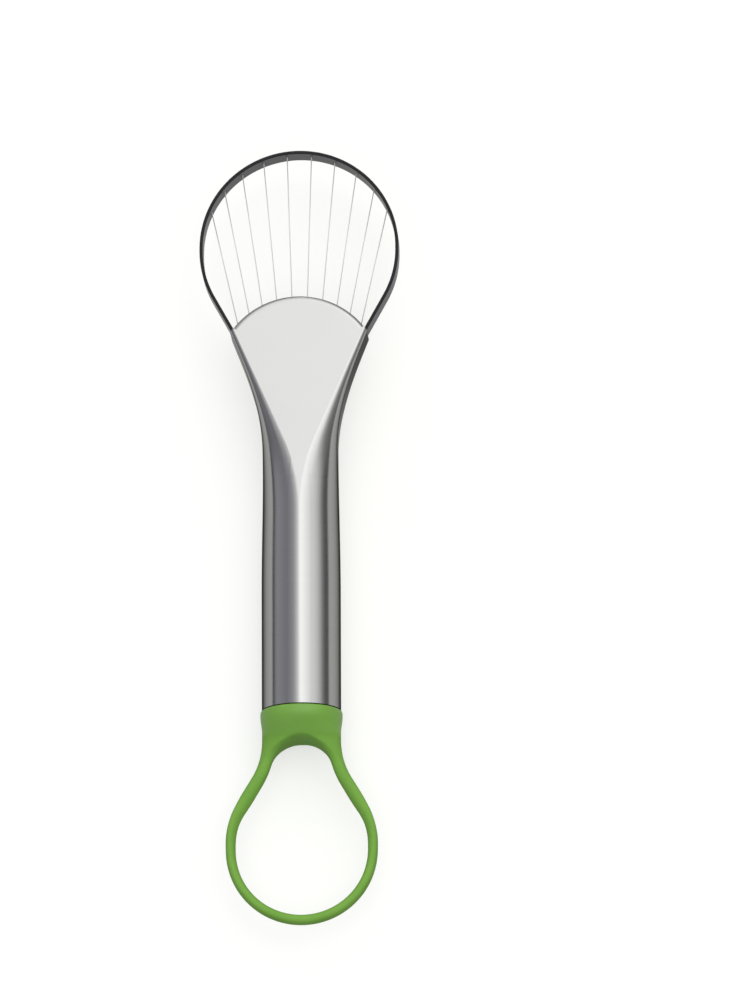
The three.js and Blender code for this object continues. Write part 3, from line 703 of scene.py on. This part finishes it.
# Table top: a plain white sheet that the tool lies on. It looks white to the camera and in the steel, keeps
# the tool's shadow, and throws little light back on the tool.
bm = bmesh.new()
bmesh.ops.create_grid(bm, x_segments=1, y_segments=1, size=8)
mesh = bpy.data.meshes.new("table_top")
bm.to_mesh(mesh)
bm.free()
table_top = bpy.data.objects.new("table_top", mesh)
bpy.context.scene.collection.objects.link(table_top)
white_sheet = bpy.data.materials.new("white sheet")
white_sheet.use_nodes = True
nodes, links = white_sheet.node_tree.nodes, white_sheet.node_tree.links
sheet_shader = nodes["Principled BSDF"]
sheet_shader.inputs["Base Color"].default_value = (0.12, 0.121, 0.118, 1)
sheet_shader.inputs["Roughness"].default_value = 0.9
sheet_shader.inputs["Specular IOR Level"].default_value = 0.1
lit_sheet = nodes.new("ShaderNodeBsdfDiffuse")
lit_sheet.inputs["Color"].default_value = (0.38, 0.38, 0.37, 1)
glow = nodes.new("ShaderNodeEmission")
glow.inputs["Color"].default_value = (0.6, 0.606, 0.585, 1)
seen_sheet = nodes.new("ShaderNodeAddShader")
links.new(lit_sheet.outputs["BSDF"], seen_sheet.inputs[0])
links.new(glow.outputs["Emission"], seen_sheet.inputs[1])
ray = nodes.new("ShaderNodeLightPath")
seen_or_mirrored = nodes.new("ShaderNodeMath")
seen_or_mirrored.operation = "ADD"
links.new(ray.outputs["Is Camera Ray"], seen_or_mirrored.inputs[0])
links.new(ray.outputs["Is Glossy Ray"], seen_or_mirrored.inputs[1])
seen_at_all = nodes.new("ShaderNodeMath")
seen_at_all.operation = "ADD"
seen_at_all.use_clamp = True
links.new(seen_or_mirrored.outputs[0], seen_at_all.inputs[0])
links.new(ray.outputs["Is Transmission Ray"], seen_at_all.inputs[1])
either = nodes.new("ShaderNodeMixShader")
links.new(seen_at_all.outputs[0], either.inputs["Fac"])
links.new(sheet_shader.outputs["BSDF"], either.inputs[1])
links.new(seen_sheet.outputs["Shader"], either.inputs[2])
links.new(either.outputs["Shader"], nodes["Material Output"].inputs["Surface"])
mesh.materials.append(white_sheet)


# Light: a long soft box above the handle with dim walls on both sides, a lamp above the ring, and soft light
# beyond both ends, brighter at the hoop.
world = bpy.data.worlds.new("studio")
bpy.context.scene.world = world
world.use_nodes = True
nodes, links = world.node_tree.nodes, world.node_tree.links
background = nodes["Background"]
direction = nodes.new("ShaderNodeTexCoord")
axes = nodes.new("ShaderNodeSeparateXYZ")
links.new(direction.outputs["Generated"], axes.inputs["Vector"])
about_handle = nodes.new("ShaderNodeMath")
about_handle.operation = "ARCTAN2"
links.new(axes.outputs["X"], about_handle.inputs[0])
links.new(axes.outputs["Z"], about_handle.inputs[1])
as_share = nodes.new("ShaderNodeMapRange")
as_share.inputs["From Min"].default_value = -math.pi
as_share.inputs["From Max"].default_value = math.pi
links.new(about_handle.outputs[0], as_share.inputs["Value"])
BRIGHTEST = 4.0


def light_bands(levels):
    """A ramp of light levels by angle about the handle, 0 straight above and 90 on the right."""
    bands = nodes.new("ShaderNodeValToRGB")
    while len(bands.color_ramp.elements) < len(levels):
        bands.color_ramp.elements.new(0.5)
    for stop, (angle, level) in zip(bands.color_ramp.elements, levels):
        cool = 1.1 if angle < -20 else 1.0
        stop.position = (angle + 180) / 360
        stop.color = (level / BRIGHTEST, level / BRIGHTEST, level * cool / BRIGHTEST, 1)
    links.new(as_share.outputs["Result"], bands.inputs["Fac"])
    return bands.outputs["Color"]


def even_light(level):
    plain = nodes.new("ShaderNodeRGB")
    plain.outputs["Color"].default_value = (level / BRIGHTEST, level / BRIGHTEST, level / BRIGHTEST, 1)
    return plain.outputs["Color"]


def goes_over(value, start, end, before, after):
    """Turns softly from one light into another between two values."""
    share = nodes.new("ShaderNodeMapRange")
    share.interpolation_type = "SMOOTHSTEP"
    share.inputs["From Min"].default_value = start
    share.inputs["From Max"].default_value = end
    links.new(value, share.inputs["Value"])
    both = nodes.new("ShaderNodeMix")
    both.data_type = "RGBA"
    links.new(share.outputs["Result"], both.inputs["Factor"])
    links.new(before, both.inputs["A"])
    links.new(after, both.inputs["B"])
    return both.outputs["Result"]


over_handle = light_bands([
    (-92, 0.08), (-84, 0.18), (-78, 0.6), (-68, 0.66), (-40, 0.48), (-21, 0.69), (-13, 1.15), (-6, 1.8),
    (-3, 2.85), (0, 3.15), (11, 2.78), (20, 2.45), (34, 2.0), (48, 1.65), (60, 1.08), (68, 0.51), (78, 0.21),
])
over_ring = light_bands([
    (-92, 0.25), (-60, 0.42), (-36, 0.42), (-12, 2.55), (20, 2.7), (36, 1.2), (56, 0.5), (92, 0.25),
])
behind_ring = light_bands([(-92, 0.3), (-70, 0.75), (-40, 0.5), (0, 0.62), (40, 0.5), (70, 0.75), (92, 0.3)])
beyond_hoop = light_bands([
    (-92, 0.45), (-66, 1.15), (-30, 0.8), (-10, 1.8), (12, 1.9), (32, 1.15), (60, 0.85), (92, 0.45),
])
towards_lamp = nodes.new("ShaderNodeVectorMath")
towards_lamp.operation = "DOT_PRODUCT"
towards_lamp.inputs[1].default_value = (0, -0.3, 0.954)
links.new(direction.outputs["Generated"], towards_lamp.inputs[0])
light = goes_over(axes.outputs["Y"], -0.25, -0.1, behind_ring, over_ring)
lamp_rim, lamp_core = math.cos(math.radians(22)), math.cos(math.radians(10))
light = goes_over(towards_lamp.outputs["Value"], lamp_rim, lamp_core, light, even_light(2.4))
light = goes_over(axes.outputs["Y"], 0.0, 0.14, light, over_handle)
light = goes_over(axes.outputs["Y"], 0.34, 0.44, light, beyond_hoop)
links.new(light, background.inputs["Color"])
background.inputs["Strength"].default_value = BRIGHTEST


# Camera: above the handle, tilted towards the ring's end and a little to the right, with a lens so long that
# the tool's two ends are seen at nearly one angle.
TILT = math.radians(14)
ASIDE = math.radians(2.7)
LEAN = math.radians(0.2)
DISTANCE = 5.0
VIEW_HEIGHT = 0.3104
aim = Vector((0.0230, 0.0122, 0.01275))
towards = Vector((math.sin(ASIDE), -math.sin(TILT) * math.cos(ASIDE), math.cos(TILT) * math.cos(ASIDE)))
lens = bpy.data.cameras.new("camera")
lens.sensor_fit = "VERTICAL"
lens.sensor_height = 36
lens.lens = lens.sensor_height * DISTANCE / VIEW_HEIGHT
lens.clip_end = 20
camera = bpy.data.objects.new("camera", lens)
bpy.context.scene.collection.objects.link(camera)
right = Vector((0, 1, 0)).cross(towards).normalized()
up = towards.cross(right)
turned = Matrix((right, up, towards)).transposed().to_4x4() @ Matrix.Rotation(-LEAN, 4, "Z")
camera.matrix_world = Matrix.Translation(aim + towards * DISTANCE) @ turned
bpy.context.scene.camera = camera
bpy.context.scene.view_settings.view_transform = "Standard"
